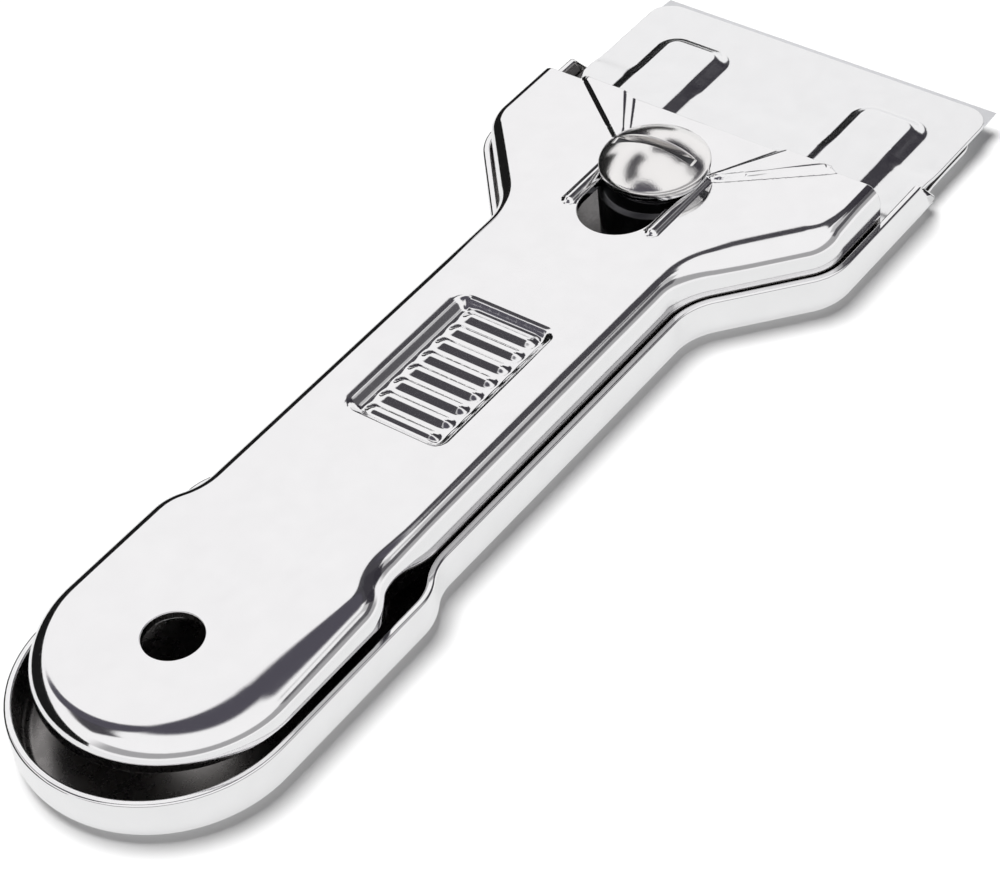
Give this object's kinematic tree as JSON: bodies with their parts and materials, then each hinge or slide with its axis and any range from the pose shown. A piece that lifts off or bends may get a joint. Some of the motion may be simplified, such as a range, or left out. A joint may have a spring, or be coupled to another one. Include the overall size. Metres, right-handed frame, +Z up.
{
  "type": "razor blade scraper",
  "caption": "Pressed-steel scraper: a single-edge blade in a sliding carrier between two nested shells, locked by a slotted screw, with a hang hole in the handle.",
  "frame": {"origin": "middle of the whole length, on the surface that the lower shell rests on", "axes": "+X points to the cutting edge, +Y to the left and +Z up along the clamp screw"},
  "size_m": [0.1145, 0.0404, 0.0116],
  "materials": {
    "chrome": "bright chrome plate over pressed steel, with fine handling marks",
    "bright_plate": "bright nickel plate over steel",
    "blade_steel": "ground blade steel"
  },
  "bodies": {
    "case": {"bottom_shell": "chrome", "top_shell": "chrome"},
    "carrier": {"carrier_lower_plate": "bright_plate", "carrier_upper_plate": "bright_plate", "razor_blade": "blade_steel", "blade_spine": "blade_steel", "guide_bush": "bright_plate", "rivet_left": "bright_plate", "rivet_right": "bright_plate"},
    "washer": {"washer": "chrome"},
    "screw": {"clamp_screw": "chrome"}
  },
  "joints": [
    {"name": "carrier_slide", "type": "slide", "parent": "case", "child": "carrier", "axis": [1, 0, 0], "range_m": [-0.0061, 0]},
    {"name": "screw_lift", "type": "slide", "parent": "carrier", "child": "washer", "axis": [0, 0, 1], "range_m": [0, 0.0008]},
    {"name": "screw_turn", "type": "hinge", "parent": "washer", "child": "screw", "pos_m": [0.02695, 0, 0.009], "axis": [0, 0, 1], "range_deg": [0, 360]}
  ],
  "couplings": [
    {"joint": "screw_turn", "follows": "screw_lift", "rad_per_m": 7853.9}
  ]
}
